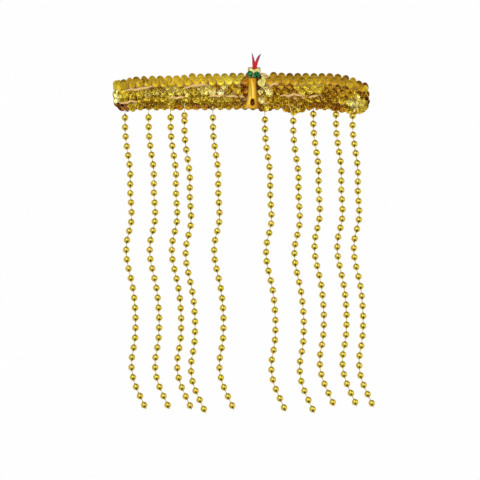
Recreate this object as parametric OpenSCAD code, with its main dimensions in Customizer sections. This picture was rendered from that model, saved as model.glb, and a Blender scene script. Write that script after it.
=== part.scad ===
// Costume headdress: a stretch band of four sequin rows with a snake ornament and ten hanging bead strands.
// The loop stands open, relaxed, as it is before it is stretched over a head.
// +Z is up, the front faces -Y, and the origin is the middle of the head opening at the band's mid height.

/* [Band loop] */
// Half the width of the loop, seen from the front
loop_half_w = 99; // [90:1:110]
// Half the depth of the loop, front to back
loop_half_d = 38; // [36:1:60]
// Radius of the turn at each end of the loop
end_r = 30; // [24:1:33]
// Thickness of the knitted elastic
elastic_t = 1.2; // [0.8:0.1:2]

/* [Sequin rows] */
// Diameter of one cupped sequin
sequin_d = 6.3; // [5.5:0.1:6.6]
// Length of band taken by one high and one low sequin
pair_pitch = 6.5; // [6:0.1:8]
// How far the high and low sequins are sewn from their row's middle line
stagger = 1; // [0.6:0.1:1.3]
// How far the fullest part of a row stands off the elastic
row_relief = 2.4; // [1.6:0.1:3]

/* [Bead strands] */
// Diameter of one moulded bead
bead_d = 5.5; // [4:0.1:5.8]
// Spacing of the beads along their thread
bead_pitch = 8.05; // [7.4:0.05:9]
// Number of evenly spaced beads on each strand
bead_count = 31; // [5:1:40]
// Diameter of the thread
thread_d = 0.7; // [0.5:0.1:1]

/* [Snake ornament] */
// Where the middle of the tube stands across the band
snake_x = 9; // [-40:1:40]
// Thickness of the tube's doubled cloth
lame_t = 1; // [0.6:0.1:1.2]
// Diameter of the stones that make its eyes
stone_d = 4.9; // [3.5:0.1:5]
// Thickness of the forked tongue
tongue_t = 1; // [0.6:0.1:1.4]

/* [Hidden] */

gold = "#C8A228";
dark_gold = "#A8861C";
knit = "#E2C088";
pale_gold = "#E0D888";
emerald = "#0E6B47";
red = "#E01828";

// Small gap kept between neighbouring pieces
gap = 0.15;
row_count = 4;
// Stands for no limit on how low an edge may reach
no_limit = -1000;

// The tables' distances across were taken on a loop of this half width, and widen with it
drawn_half_w = 99;
widen = loop_half_w / drawn_half_w;

// Middle lines of the top and bottom rows along the front wall.
// Columns: across, top_row_z, bottom_row_z
FRONT_LINES = [
    [-99.5, 5.0, -7.8],
    [-91.5, 6.4, -10.8],
    [-84.5, 8.6, -10.6],
    [-70, 8.6, -8.9],
    [-51, 9.1, -10.6],
    [-35, 10.2, -10.3],
    [-20, 10.7, -9.6],
    [0, 11.2, -8.4],
    [22, 11.4, -8.4],
    [48, 11.0, -9.6],
    [66, 10.9, -8.9],
    [82.5, 10.4, -11.8],
    [89, 6.9, -12],
    [93, 5.2, -13.6],
    [99.5, 2.8, -9.4]
];

// The same lines along the back wall, which lies plainer
BACK_LINES = [
    [-99.5, 5.0, -7.8],
    [-88, 8.0, -9.4],
    [-60, 9.8, -9.6],
    [0, 10.9, -9.2],
    [60, 10.3, -9.6],
    [87, 7.4, -10.6],
    [99.5, 2.8, -9.4]
];

// Places where a strand pulls the front's lower edge down into a point.
// Columns: across, depth, half_width
PULLS = [
    [18.8, 3.8, 4],
    [41, 5.6, 4],
    [84.5, 1.4, 3],
    [93, 2, 2.6]
];

// Hanging strands, left to right. Columns: across, first_bead_z
STRANDS = [
    [-93.1, -20.3],
    [-74.1, -20.3],
    [-56.4, -20.3],
    [-45.3, -23.0],
    [-22.5, -20.5],
    [19.1, -22.1],
    [41.8, -23.0],
    [57.9, -17.6],
    [76.1, -17.9],
    [89.5, -18.8]
];

// Spare beads sewn above two of the strands. Columns: strand, rise, inward
SPARE_BEADS = [
    [3, 4.4, 3.8],
    [8, 4.6, 3.6]
];

// How every strand wanders sideways as it hangs. Columns: drop, sideways
STRAND_WAVE = [
    [0, 0],
    [13, 0.1],
    [24, 1.5],
    [38, 3.8],
    [46, 4.5],
    [58, 4.0],
    [77, 5.5],
    [85, 5.1],
    [98, 1.4],
    [106, 0.8],
    [114, 1.3],
    [136, 6.3],
    [148, 7.8],
    [162, 8.6],
    [177, 8.2],
    [184, 7.2],
    [193, 5.2],
    [201, 5.1],
    [208, 6.1],
    [216, 8.7],
    [231, 15.6],
    [330, 60]
];

// Outer form of the snake's tube, lowest first. Columns: z, half_width, half_depth
TUBE_FORM = [
    [-13.2, 6.3, 3.2],
    [-10.4, 5.8, 3.2],
    [-7.2, 4.7, 3.0],
    [-3, 3.9, 2.7],
    [2, 3.5, 2.5],
    [7, 3.3, 2.3],
    [11.2, 3.3, 2.1]
];

// Outer form of the snake's head, lowest first. Columns: z, half_width, half_depth, shift_across
HEAD_FORM = [
    [11.4, 3.1, 1.7, 0.4],
    [12.4, 4.5, 2.3, 0.9],
    [14.2, 5.1, 2.7, 1.4],
    [17, 5.2, 2.7, 1.6],
    [18.9, 5.1, 2.4, 1.6],
    [19.9, 4.6, 1.8, 1.6]
];

// The tongue's outline from its root, up round both prongs and back. Columns: from_snake_x, z
TONGUE_FORM = [
    [0.2, 15.6],
    [0.1, 21],
    [-0.1, 26],
    [-0.3, 31.3],
    [0.9, 28.8],
    [1.7, 26.2],
    [2.4, 24.1],
    [3.3, 26.6],
    [4.6, 28.8],
    [7, 30.6],
    [5.6, 26.6],
    [4.3, 22.6],
    [3.7, 19.6],
    [3.6, 15.6]
];

// The two stones. Columns: from_snake_x, z, extra_diameter
STONES = [
    [-1.8, 14.6, 0],
    [3.6, 13.8, 0.3]
];

// The large arc of each long wall meets the end turns without a corner
end_x = loop_half_w - end_r;
wall_r = (end_x * end_x + loop_half_d * loop_half_d - end_r * end_r) / (2 * (loop_half_d - end_r));
wall_y = wall_r - loop_half_d;
wall_angle = atan2(end_x, wall_y);
wall_half_length = wall_r * wall_angle * PI / 180;
turn_length = end_r * (180 - 2 * wall_angle) * PI / 180;
loop_length = 4 * wall_half_length + 2 * turn_length;
pair_count = round(loop_length / pair_pitch);
station_count = 4 * pair_count;
station_step = loop_length / station_count;

// Heading of the outward normal after a run along the loop from the middle of the front, 0 facing -Y
function heading(run) =
    run < wall_half_length ? run / wall_r * 180 / PI
    : run < wall_half_length + turn_length ? wall_angle + (run - wall_half_length) / end_r * 180 / PI
    : run < 3 * wall_half_length + turn_length
        ? 180 - wall_angle + (run - wall_half_length - turn_length) / wall_r * 180 / PI
    : run < 3 * wall_half_length + 2 * turn_length
        ? 180 + wall_angle + (run - 3 * wall_half_length - turn_length) / end_r * 180 / PI
    : 360 - wall_angle + (run - 3 * wall_half_length - 2 * turn_length) / wall_r * 180 / PI;

// Centre and radius of the arc that carries a heading
function arc_of(turn) =
    turn < wall_angle || turn >= 360 - wall_angle ? [0, wall_y, wall_r]
    : turn < 180 - wall_angle ? [end_x, 0, end_r]
    : turn < 180 + wall_angle ? [0, -wall_y, wall_r]
    : [-end_x, 0, end_r];

// Point that stands off the elastic's outer face at a heading
function loop_point(turn, off) =
    let (arc = arc_of(turn))
    [arc[0] + (arc[2] + off) * sin(turn), arc[1] - (arc[2] + off) * cos(turn)];

// Place in depth of a point on the front wall, at a distance across and standing off the outer face
function front_y(across, off) =
    abs(across) < end_x + end_r * sin(wall_angle)
        ? wall_y - sqrt(pow(wall_r + off, 2) - across * across)
        : -sqrt(pow(end_r + off, 2) - pow(abs(across) - end_x, 2));

// A column of a table against its first column, eased between its points
function eased(table, column, at, reach = 4) =
    let (pairs = [for (entry = table) [entry[0], entry[column]]])
    (lookup(at - reach, pairs) + 2 * lookup(at, pairs) + lookup(at + reach, pairs)) / 4;

// Share of the front's form at a depth: 1 in front, 0 behind, easing over in the middle of the end turns
ease_depth = 16;
function front_share(depth) = min(1, max(0, 0.5 - depth / ease_depth));

// How far the lower edge is pulled down, as a bell curve round each pulled place
function pull_at(across) =
    max([for (pull = PULLS) pull[1] * exp(-pow((across - pull[0]) / pull[2], 2))]);

// Middle line of the top row, and of the bottom row
function top_line(across, depth) =
    let (share = front_share(depth), drawn = across / widen)
    share * eased(FRONT_LINES, 1, drawn) + (1 - share) * eased(BACK_LINES, 1, drawn);

function bottom_line(across, depth) =
    let (share = front_share(depth), drawn = across / widen)
    share * (eased(FRONT_LINES, 2, drawn) - pull_at(drawn)) + (1 - share) * eased(BACK_LINES, 2, drawn);

// Lowest that the bottom edge may reach over the first bead of a strand
bead_r = bead_d / 2;
bead_room = bead_r + 0.4;
function bead_clear(across) =
    max([for (strand = STRANDS)
        let (side = abs(across - strand[0] * widen))
        side < bead_room ? strand[1] + sqrt(bead_room * bead_room - side * side) : no_limit]);

// Edge of a row of overlapping discs, high and low by turns, at each quarter of a pair.
// LEAN is 1 where the disc sits high and -1 where it sits low.
sequin_r = sequin_d / 2;
edge_peak = sequin_r + stagger;
edge_shoulder = stagger + sqrt(sequin_r * sequin_r - pow(pair_pitch / 4, 2));
edge_valley = sequin_r - stagger;
EDGE = [edge_peak, edge_shoulder, edge_valley, edge_shoulder];
LEAN = [1, 0, -1, 0];

// Each row hangs over the next, so the lines between them lie low. As shares of the way down from the top
// row's middle line to the bottom row's.
LINE_SHARES = [0.25, 0.6, 0.86];

// Height of the line between two rows, with line 0 the top edge and the last line the bottom edge
function row_edge(line, quarter, top, bottom, lowest) =
    let (reach = top - bottom, pitch = reach / (row_count - 1))
    line == 0 ? top + EDGE[quarter]
    : line == row_count ? max(bottom - EDGE[(quarter + 2) % 4], lowest)
    : top - reach * LINE_SHARES[line - 1] + stagger * LEAN[quarter] * min(1, pitch / pair_pitch);

// Five points of a row's section at a station: inner low, outer low, crest, outer high, inner high
crest_lean = 0.6;
between_share = 0.72;
edge_share = 0.42;
function row_section(row, station) =
    let (
        turn = heading(station * station_step),
        quarter = station % 4,
        foot = loop_point(turn, 0),
        top = top_line(foot[0], foot[1]),
        bottom = bottom_line(foot[0], foot[1]),
        lowest = foot[1] < 0 ? bead_clear(foot[0]) : no_limit,
        high = row_edge(row, quarter, top, bottom, lowest) - (row == 0 ? 0 : gap / 2),
        low = row_edge(row + 1, quarter, top, bottom, lowest) + (row == row_count - 1 ? 0 : gap / 2),
        crest = (high + low) / 2 + LEAN[quarter] * crest_lean,
        full = row_relief * (quarter % 2 == 0 ? 1 : between_share),
        thin = row_relief * edge_share,
        inner = loop_point(turn, gap),
        edge = loop_point(turn, gap + thin),
        crown = loop_point(turn, full)
    )
    [
        [inner[0], inner[1], low],
        [edge[0], edge[1], low],
        [crown[0], crown[1], crest],
        [edge[0], edge[1], high],
        [inner[0], inner[1], high]
    ];

// Sections joined to their neighbours all the way round the loop
module loop_wall(sections) {
    corners = len(sections[0]);
    total = corners * len(sections);
    points = [for (section = sections) for (point = section) point];
    faces = [
        for (place = [0 : len(sections) - 1])
            for (side = [0 : corners - 1])
                let (
                    a = place * corners + side,
                    b = place * corners + (side + 1) % corners,
                    c = (b + corners) % total,
                    d = (a + corners) % total
                )
                for (face = [[a, b, c], [a, c, d]]) face
    ];
    polyhedron(points, faces);
}

module sequin_row(row) {
    loop_wall([for (station = [0 : station_count - 1]) row_section(row, station)]);
}

// Four points of the elastic's section at a station: inner low, outer low, outer high, inner high.
// Its edges lie a little inside the sequins' scalloped ones.
elastic_tuck = 0.3;
elastic_margin = edge_valley - elastic_tuck;
function elastic_section(station) =
    let (
        turn = heading(station * station_step),
        outer = loop_point(turn, 0),
        inner = loop_point(turn, -elastic_t),
        high = top_line(outer[0], outer[1]) + elastic_margin,
        low = bottom_line(outer[0], outer[1]) - elastic_margin
    )
    [
        [inner[0], inner[1], low],
        [outer[0], outer[1], low],
        [outer[0], outer[1], high],
        [inner[0], inner[1], high]
    ];

module elastic_band() {
    color(knit)
        loop_wall([for (station = [0 : 2 : station_count - 1]) elastic_section(station)]);
}

module sequin_row_1() { color(gold) sequin_row(0); }
module sequin_row_2() { color(gold) sequin_row(1); }
module sequin_row_3() { color(dark_gold) sequin_row(2); }
module sequin_row_4() { color(dark_gold) sequin_row(3); }

// Rings of a soft form: flattened rounds whose backs are held against the sequins.
// A roundness of 1 is an ellipse, and less is squarer.
snake_back = front_y(snake_x, row_relief) - 2 * gap;
sides = 20;
roundness = 0.8;
function soft_power(value) = sign(value) * pow(abs(value), roundness);
function form_ring(z, half_w, half_d, shift, wall) = [
    for (side = [0 : sides - 1])
        let (angle = side * 360 / sides)
        [
            snake_x + shift + (half_w - wall) * soft_power(cos(angle)),
            snake_back - half_d + (half_d - wall) * soft_power(sin(angle)),
            z
        ]
];

module soft_form(rings) {
    last = len(rings) - 1;
    points = [for (ring = rings) for (point = ring) point];
    walls = [
        for (level = [0 : last - 1])
            for (side = [0 : sides - 1])
                let (
                    a = level * sides + side,
                    b = level * sides + (side + 1) % sides
                )
                for (face = [[a, a + sides, b + sides], [a, b + sides, b]]) face
    ];
    bottom = [for (side = [0 : sides - 1]) side];
    top = [for (side = [sides - 1 : -1 : 0]) last * sides + side];
    polyhedron(points, concat(walls, [bottom, top]));
}

// The tube is hollow and open below, with a small oval opening low in its front
module snake_body() {
    last = len(TUBE_FORM) - 1;
    opening_z = -8.6;
    opening_half_w = 1.7;
    opening_half_h = 2.4;
    run_out = 1;
    color(gold)
        difference() {
            soft_form([for (entry = TUBE_FORM) form_ring(entry[0], entry[1], entry[2], 0, 0)]);
            soft_form([
                for (k = [0 : last])
                    let (entry = TUBE_FORM[k], lower = k == 0 ? run_out : k == last ? lame_t : 0)
                    form_ring(entry[0] - lower, entry[1], entry[2], 0, lame_t)
            ]);
            translate([snake_x, snake_back - TUBE_FORM[2][2], opening_z])
                rotate([90, 0, 0])
                    linear_extrude(height = 2 * TUBE_FORM[2][2])
                        scale([opening_half_w / opening_half_h, 1])
                            circle(r = opening_half_h, $fn = 24);
        }
}

// Front of the head where its stones are glued, and the depth at which the tongue stands
head_front = snake_back - 2 * HEAD_FORM[2][2];
tongue_y = snake_back - HEAD_FORM[3][2];

module snake_head() {
    root = TONGUE_FORM[0];
    root_end = TONGUE_FORM[len(TONGUE_FORM) - 1];
    head_top = HEAD_FORM[len(HEAD_FORM) - 1][0];
    slot_t = tongue_t + 2 * gap;
    slot_w = root_end[0] - root[0] + 4 * gap;
    color(pale_gold)
        difference() {
            soft_form([for (entry = HEAD_FORM) form_ring(entry[0], entry[1], entry[2], entry[3], 0)]);
            translate([snake_x + root[0] - 2 * gap, tongue_y - slot_t / 2, root[1] - gap])
                cube([slot_w, slot_t, head_top - root[1] + 1]);
        }
}

// A round stone with an eight-sided table and a ring of facets down to its girdle
module stone(which) {
    entry = STONES[which];
    size = stone_d + entry[2];
    girdle_h = 0.5;
    crown_h = 1.4;
    table_share = 0.58;
    color(emerald)
        translate([snake_x + entry[0], head_front - gap / 2, entry[1]])
            rotate([90, 0, 0])
                hull() {
                    cylinder(h = girdle_h, d = size, $fn = 16);
                    rotate([0, 0, 22.5])
                        cylinder(h = crown_h, d = size * table_share, $fn = 8);
                }
}

module snake_eye_left() { stone(0); }
module snake_eye_right() { stone(1); }

module snake_tongue() {
    color(red)
        translate([snake_x, tongue_y + tongue_t / 2, 0])
            rotate([90, 0, 0])
                linear_extrude(height = tongue_t)
                    polygon(TONGUE_FORM);
}

// The strands hang under the middle of the elastic's wall.
// A bead is moulded on its thread, and ends in a short nub at each side.
hang_off = -0.7;
thread_r = thread_d / 2;
nub_r = 0.7;
nub_l = min(0.6, (bead_pitch - bead_d) / 4);
// Threads start this far from a bead's middle, well inside it and clear of each other
thread_root = bead_r * 0.6;

// A strand wanders sideways as the photo shows it. It also waves in depth, most in its upper half, which is
// why the beads there look closer together than they are.
wave_reach = 5;
sway_depth = 4.6;
sway_length = 60;
sway_turn = 47;
sway_start = 12;
sway_end = 150;
sway_fade = 40;
sway_left = 0.3;
function wave(drop) = eased(STRAND_WAVE, 1, drop, wave_reach);
function sway(drop, strand) =
    min(1, drop / sway_start, max(sway_left, (sway_end - drop) / sway_fade))
        * sway_depth * sin(drop * 360 / sway_length + sway_turn * strand);

// Place of a point a given drop below a strand's first bead
function strand_point(strand, drop) =
    let (across = STRANDS[strand][0] * widen)
    [
        across + wave(drop),
        front_y(across, hang_off) + sway(drop, strand),
        STRANDS[strand][1] - drop
    ];

// Drops at which the beads sit, each one pitch further along the thread than the last
function stretch(strand, drop) = norm(strand_point(strand, drop + 1) - strand_point(strand, drop));
function bead_drops(strand) = [
    for (
        bead = 0, drop = 0;
        bead < bead_count;
        drop = drop + bead_pitch / stretch(strand, drop + bead_pitch / 2), bead = bead + 1
    )
        drop
];

// Axis turned from +Z to run from one point to another
module along(from, to) {
    reach = to - from;
    translate(from)
        rotate([0, acos(reach[2] / norm(reach)), atan2(reach[1], reach[0])])
            children();
}

// Thread between two beads, with the moulded nub at each end
module link(from, to) {
    span = norm(to - from);
    skin = sqrt(bead_r * bead_r - nub_r * nub_r) + 0.1;
    tip = bead_r + nub_l;
    along(from, to)
        rotate_extrude($fn = 32)
            polygon([
                [0, thread_root],
                [nub_r, thread_root],
                [nub_r, skin],
                [thread_r, tip],
                [thread_r, span - tip],
                [nub_r, span - skin],
                [nub_r, span - thread_root],
                [0, span - thread_root]
            ]);
}

// Plain thread from inside a bead to a stop short of another point
module bare_thread(from, to, stop) {
    along(from, to)
        translate([0, 0, thread_root])
            cylinder(h = norm(to - from) - thread_root - stop, r = thread_r, $fn = 32);
}

// A strand ends just under the elastic, or just behind it where its top bead lies behind the band
module bead_strand(strand) {
    hung = [for (drop = bead_drops(strand)) strand_point(strand, drop)];
    spare = [
        for (entry = SPARE_BEADS)
            if (entry[0] == strand) hung[0] + [0, entry[2], entry[1]]
    ];
    top_bead = len(spare) > 0 ? spare[0] : hung[0];
    across = STRANDS[strand][0] * widen;
    elastic_low = bottom_line(across, -loop_half_d) - elastic_margin;
    behind = top_bead[2] > elastic_low - bead_r;
    rise_behind = 5;
    seat_gap = 3 * gap;
    seat = behind
        ? [across, front_y(across, -elastic_t - gap - thread_r), top_bead[2] + rise_behind]
        : [across, front_y(across, hang_off), elastic_low - seat_gap];
    color(gold) {
        // Each ball's poles lie front and back, clear of the threads
        for (place = concat(spare, hung))
            translate(place)
                rotate([90, 0, 0])
                    sphere(d = bead_d, $fn = 48);
        for (k = [1 : bead_count - 1])
            link(hung[k - 1], hung[k]);
        if (len(spare) > 0)
            bare_thread(hung[0], spare[0], thread_root);
        bare_thread(top_bead, seat, 0);
    }
}

module bead_strand_left_1() { bead_strand(0); }
module bead_strand_left_2() { bead_strand(1); }
module bead_strand_left_3() { bead_strand(2); }
module bead_strand_left_4() { bead_strand(3); }
module bead_strand_left_5() { bead_strand(4); }
module bead_strand_right_1() { bead_strand(5); }
module bead_strand_right_2() { bead_strand(6); }
module bead_strand_right_3() { bead_strand(7); }
module bead_strand_right_4() { bead_strand(8); }
module bead_strand_right_5() { bead_strand(9); }

elastic_band();
sequin_row_1();
sequin_row_2();
sequin_row_3();
sequin_row_4();
snake_body();
snake_head();
snake_eye_left();
snake_eye_right();
snake_tongue();
bead_strand_left_1();
bead_strand_left_2();
bead_strand_left_3();
bead_strand_left_4();
bead_strand_left_5();
bead_strand_right_1();
bead_strand_right_2();
bead_strand_right_3();
bead_strand_right_4();
bead_strand_right_5();
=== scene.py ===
"""Looks of a costume headdress: a stretch band of sequin rows with a snake ornament and hanging bead strands.

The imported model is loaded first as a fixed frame, in metres, with +Z up and the front facing -Y.
Each piece is worked out with numpy as a surface on a grid, or a profile carried along a path. All but the
yarns between the rows stand for plain solids. The operators make the pieces, and main calls them in order.
"""

import math

import bpy
import numpy as np
from bpy.props import FloatProperty, FloatVectorProperty, IntProperty, PointerProperty
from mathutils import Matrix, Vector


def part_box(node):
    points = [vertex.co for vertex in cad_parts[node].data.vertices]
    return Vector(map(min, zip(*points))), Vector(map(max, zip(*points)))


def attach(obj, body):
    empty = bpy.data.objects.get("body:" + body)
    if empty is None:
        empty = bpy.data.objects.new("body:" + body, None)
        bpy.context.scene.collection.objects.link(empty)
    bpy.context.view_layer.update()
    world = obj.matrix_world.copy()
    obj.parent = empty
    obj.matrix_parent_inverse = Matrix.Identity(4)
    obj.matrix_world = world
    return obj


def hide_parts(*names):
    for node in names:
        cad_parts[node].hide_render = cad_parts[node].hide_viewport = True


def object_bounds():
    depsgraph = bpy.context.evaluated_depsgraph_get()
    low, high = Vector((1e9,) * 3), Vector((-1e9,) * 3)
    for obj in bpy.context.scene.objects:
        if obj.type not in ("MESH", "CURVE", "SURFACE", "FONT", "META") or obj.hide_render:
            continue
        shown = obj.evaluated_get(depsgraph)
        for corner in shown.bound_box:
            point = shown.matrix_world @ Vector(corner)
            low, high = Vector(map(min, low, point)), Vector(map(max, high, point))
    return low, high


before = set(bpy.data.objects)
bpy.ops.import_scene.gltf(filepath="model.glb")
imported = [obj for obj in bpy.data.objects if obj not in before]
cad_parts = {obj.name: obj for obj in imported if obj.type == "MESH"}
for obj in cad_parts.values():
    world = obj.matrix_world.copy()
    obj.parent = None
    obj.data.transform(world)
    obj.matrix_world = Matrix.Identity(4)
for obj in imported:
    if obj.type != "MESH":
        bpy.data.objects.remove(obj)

bl_info = {
    "name": "Costume Headdress",
    "version": (1, 0, 0),
    "blender": (4, 5, 0),
    "location": "View3D > Sidebar > Headdress",
    "description": "Sequin band, snake ornament and bead strands of a costume headdress",
    "category": "Object",
}

MM = 0.001
BODY = "root"
CAD_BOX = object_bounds()
SEED = 31


def linear(hex_code):
    """An sRGB hex colour as linear red, green and blue."""
    parts = np.array([int(hex_code[k : k + 2], 16) for k in (0, 2, 4)]) / 255
    return tuple(np.where(parts <= 0.04045, parts / 12.92, ((parts + 0.055) / 1.055) ** 2.4).tolist())


def opaque(hex_code):
    """The same colour with full alpha, as a node's socket takes it."""
    return (*linear(hex_code), 1.0)


# Hanging strands: name of the solid, distance across, height of the first bead, in millimetres
STRANDS = [
    ("bead_strand_left_1", -93.1, -20.3),
    ("bead_strand_left_2", -74.1, -20.3),
    ("bead_strand_left_3", -56.4, -20.3),
    ("bead_strand_left_4", -45.3, -23.0),
    ("bead_strand_left_5", -22.5, -20.5),
    ("bead_strand_right_1", 19.1, -22.1),
    ("bead_strand_right_2", 41.8, -23.0),
    ("bead_strand_right_3", 57.9, -17.6),
    ("bead_strand_right_4", 76.1, -17.9),
    ("bead_strand_right_5", 89.5, -18.8),
]

# Spare beads above a strand's first bead: how far inward and how far up, in millimetres
SPARE_BEADS = {
    "bead_strand_left_4": (3.8, 4.4),
    "bead_strand_right_4": (3.6, 4.6),
}

# Threads that pass in front of the bottom row before they are sewn in: height where they end, in millimetres
FRONT_TIES = {
    "bead_strand_left_4": -8.6,
    "bead_strand_left_5": -11.0,
}

# How every strand wanders sideways as it hangs: drop, sideways, in millimetres
STRAND_WAVE = np.array([
    (0, 0), (13, 0.1), (24, 1.5), (38, 3.8), (46, 4.5), (58, 4.0), (77, 5.5), (85, 5.1), (98, 1.4),
    (106, 0.8), (114, 1.3), (136, 6.3), (148, 7.8), (162, 8.6), (177, 8.2), (184, 7.2), (193, 5.2),
    (201, 5.1), (208, 6.1), (216, 8.7), (231, 15.6), (330, 60),
])

# How each row lies, top row first: how far off the elastic and how deep its sequins' cups are, both in
# millimetres; how far they lean on the next, how far high and low ones tip back and how much chance turns
# them, all in degrees; the tone of their film, partly its own colour and partly painted light; how much
# lighter the low ones are painted than the high ones under them, and how much lighter the high ones are
# painted in the patches of LIES
ROWS = [
    (2.0, 0.45, 12, -8, 0, 5, 0.46, 0.08, 0),
    (1.8, 0.85, 25, 2, 0, 9, 0.5, 0.08, 0),
    (1.5, 0.85, 25, 2, 0, 9, 0.48, 0.08, 0),
    (1.5, 0.8, 25, 2, -8, 8, 0.42, -0.1, 0.12),
]

# Stretches of the front where the knit shows: line between rows with 0 above the top one, from and to across,
# then the heights at both ends, all in millimetres
KNIT_SHOWS = [
    (0, 15, 21, 15.2, 13.6),
    (1, -94, -70, 1.2, 4.4),
    (1, -46, -26, 4.2, 6.2),
    (1, 22, 30, 5.2, 6.8),
    (2, -58, -45, -5.2, -3.8),
    (2, -26, -13, -2.8, -3.0),
    (2, -12, -2, -3.0, -3.2),
    (2, 31, 51, -2.6, -2.2),
    (2, 54, 62, -3.4, -3.2),
    (3, -98, -84, -9.4, -6.8),
    (3, -1, 3, -3.4, -4.4),
]

# Where the hem hangs lower still than its solid: across, how much lower and half the width, in millimetres
HEM_POINTS = [
    (-85, 0.9, 3.5),
    (18.8, 1.1, 2.2),
]

# Patches of the front where sequins lie another way: row with 0 at the top, from and to in millimetres
# across, how far they tip back and turn aside in degrees, how much chance turns them more, and the tone of
# their film, partly its own colour and partly painted light: painted highlight and shade that they catch
# there
LIES = [
    (0, -103, -94, 0, -45, 4, 0.6),
    (0, -94, -80, 8, -22, 6, 0.46),
    (0, -74, -18, 6, -4, 0, 0.5),
    (0, -16, -9, 2, -6, 0, 0.75),
    (0, -2, 2, 8, -10, 0, 0.72),
    (0, 2.4, 6, 8, -12, 12, 0.16),
    (0, 12, 15, 6, -8, 12, 0.2),
    (0, 15, 20, 6, -10, 4, 0.88),
    (0, 22, 46, 0, 0, 0, 0.31),
    (0, 47, 64, 0, 0, 0, 0.44),
    (0, 65, 86, 0, 0, 0, 0.3),
    (0, 88, 97, 0, 10, 8, 0.4),
    (0, 97, 104, 4, 14, 22, 0.26),
    (1, -103, -94, 4, -60, 4, 0.8),
    (1, -94, -80, 0, -32, 4, 0.5),
    (1, -80, -47, 4, -9, 0, 0.72),
    (1, -46, -35, 5, -10, 0, 0.68),
    (1, -34, -22, 2, -12, 0, 0.8),
    (1, -18, -13, 2, -20, 0, 0.95),
    (1, -3, 5, 8, -12, 16, 0.16),
    (1, 12, 15, 8, -12, 16, 0.14),
    (1, 16, 24, 2, -20, 6, 0.9),
    (1, 26, 44, -2, 0, 0, 0.26),
    (1, 45, 64, 2, -14, 0, 0.55),
    (1, 66, 90, -2, 0, 0, 0.25),
    (1, 92, 98, 4, 4, 24, 0.5),
    (1, 98, 104, 8, 14, 26, 0.22),
    (2, -103, -97, 4, -60, 4, 0.9),
    (2, -94, -62, 0, -24, 4, 0.44),
    (2, -62, -33, 4, -9, 0, 0.58),
    (2, -32, -4, 5, -12, 6, 0.66),
    (2, -3, 5, 8, -12, 16, 0.18),
    (2, 12, 15, 8, -12, 16, 0.14),
    (2, 15, 19, 2, -20, 6, 0.8),
    (2, 22, 62, -1, 0, 0, 0.4),
    (2, 64, 84, 0, 0, 0, 0.44),
    (2, 89, 95, 2, -16, 12, 0.85),
    (2, 95, 99, 6, 4, 16, 0.8),
    (2, 99, 104, 8, 14, 24, 0.18),
    (3, -103, -98.5, -30, -28, 2, 0.06),
    (3, -98.5, -92.5, -28, -34, 4, 0.02),
    (3, -89, -81, 4, -26, 4, 0.56),
    (3, -76, -50, -2, -10, 0, 0.46),
    (3, -50, -28, -2, -10, 6, 0.33),
    (3, -3, 5, 2, -12, 14, 0.28),
    (3, 15, 23, 4, -10, 14, 0.45),
    (3, 24, 60, -3, 0, 0, 0.33),
    (3, 38, 45, 4, -10, 14, 0.6),
    (3, 56, 62, 4, -10, 10, 0.3),
    (3, 63, 86, -3, 0, 6, 0.26),
    (3, 88, 97, 2, -16, 14, 0.78),
    (3, 97, 104, -20, 10, 14, 0.5),
]


class BandSettings(bpy.types.PropertyGroup):
    end_radius: FloatProperty(
        name="End Radius",
        description="Radius of the turn at each end of the loop",
        default=30 * MM,
        unit="LENGTH",
    )
    pair_pitch: FloatProperty(
        name="Pair Pitch",
        description="Length of band for one high and one low sequin",
        default=6.5 * MM,
        unit="LENGTH",
    )
    sequin_size: FloatProperty(
        name="Sequin Diameter",
        description="Diameter of one cupped sequin",
        default=6.3 * MM,
        unit="LENGTH",
    )
    stagger: FloatProperty(
        name="Stagger",
        description="How far sequins sit above and below their row",
        default=1 * MM,
        unit="LENGTH",
    )
    film_color: FloatVectorProperty(
        name="Film",
        description="Colour of the sequins' metallised film",
        default=linear("D0AE2A"),
        subtype="COLOR",
    )
    knit_color: FloatVectorProperty(
        name="Knit",
        description="Colour of the knitted elastic's yarn",
        default=linear("FACF82"),
        subtype="COLOR",
    )


class StrandSettings(bpy.types.PropertyGroup):
    bead_size: FloatProperty(
        name="Bead Diameter", description="Diameter of one bead", default=5.5 * MM, unit="LENGTH"
    )
    bead_pitch: FloatProperty(
        name="Bead Pitch",
        description="Spacing of the beads along their thread",
        default=8.05 * MM,
        unit="LENGTH",
    )
    bead_count: IntProperty(name="Bead Count", description="Evenly spaced beads on a strand", default=31)
    thread_size: FloatProperty(
        name="Thread Diameter", description="Diameter of the thread", default=0.7 * MM, unit="LENGTH"
    )
    bead_color: FloatVectorProperty(
        name="Bead",
        description="Colour of the beads' metallised skin",
        default=linear("E0C952"),
        subtype="COLOR",
    )
    thread_color: FloatVectorProperty(
        name="Thread", description="Colour of the thread", default=linear("F0E4B0"), subtype="COLOR"
    )


class SnakeSettings(bpy.types.PropertyGroup):
    cloth_thickness: FloatProperty(
        name="Cloth Thickness",
        description="Thickness of the tube's doubled cloth",
        default=0.7 * MM,
        unit="LENGTH",
    )
    tongue_thickness: FloatProperty(
        name="Tongue Thickness",
        description="Thickness of the felt tongue",
        default=1 * MM,
        unit="LENGTH",
    )
    tube_color: FloatVectorProperty(
        name="Tube", description="Colour of the tube's cloth", default=linear("DAA422"), subtype="COLOR"
    )
    head_color: FloatVectorProperty(
        name="Head", description="Colour of the head's cloth", default=linear("D6CC80"), subtype="COLOR"
    )
    stone_color: FloatVectorProperty(
        name="Stones", description="Colour of the two stones", default=linear("0C6A34"), subtype="COLOR"
    )
    tongue_color: FloatVectorProperty(
        name="Tongue",
        description="Colour of the felt tongue at its root",
        default=linear("C81624"),
        subtype="COLOR",
    )


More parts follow.
